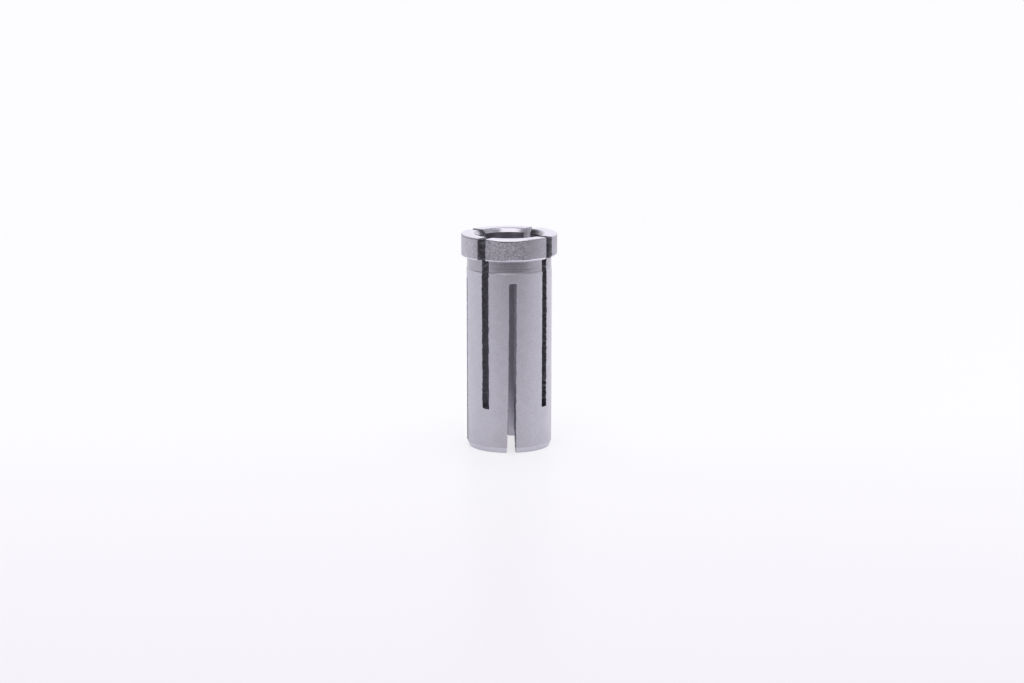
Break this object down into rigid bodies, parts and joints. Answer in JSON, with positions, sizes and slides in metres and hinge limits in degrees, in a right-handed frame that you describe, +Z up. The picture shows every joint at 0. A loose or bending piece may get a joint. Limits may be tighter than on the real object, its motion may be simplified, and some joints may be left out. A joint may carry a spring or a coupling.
{
  "type": "router collet",
  "caption": "Slotted steel reducing collet: a straight barrel with a head and a through bore that closes on a cutter's shank inside a router's own collet.",
  "frame": {"origin": "centre of the foot, where the bore's axis meets the bottom end face", "axes": "+Z up the bore's axis, from the foot to the head; the slots cut down from the head lie midway between +X and +Y and every quarter turn from there"},
  "size_m": [0.0142, 0.0142, 0.0322],
  "materials": {
    "steel": "ground barrel, turned head and neck, sawn slots"
  },
  "bodies": {
    "root": {"collet": "steel"}
  },
  "joints": []
}
